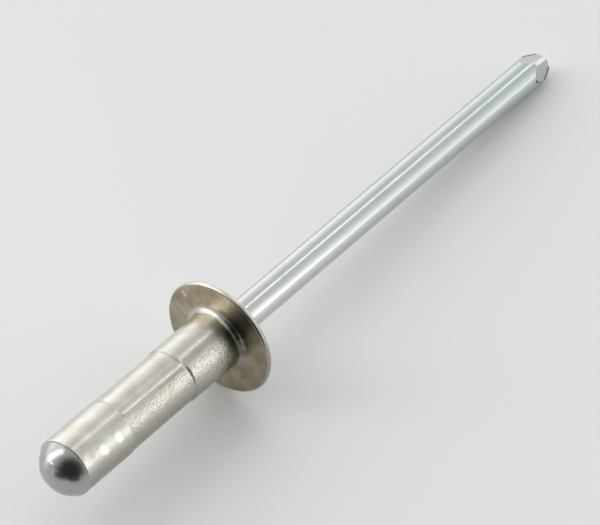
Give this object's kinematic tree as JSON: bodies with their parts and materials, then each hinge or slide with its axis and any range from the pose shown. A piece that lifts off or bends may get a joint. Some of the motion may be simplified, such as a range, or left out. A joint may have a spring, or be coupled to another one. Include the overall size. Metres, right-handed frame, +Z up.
{
  "type": "blind rivet",
  "caption": "Unset blind rivet: a tubular aluminium body with a wide flange and a crimped band, on a zinc-plated steel mandrel with a domed head and a pinch-cut point.",
  "frame": {"origin": "on the surface that the rivet lies on, under the middle of its length", "axes": "+X from the domed nose towards the mandrel's tail, +Z up; the rivet's axis dips about 5 degrees towards the tail"},
  "size_m": [0.0404, 0.0064, 0.0065],
  "materials": {
    "rivet_body": "satin, as drawn and tumbled",
    "mandrel": "bright zinc plate"
  },
  "bodies": {
    "root": {"rivet_body": "rivet_body", "mandrel": "mandrel"}
  },
  "joints": []
}
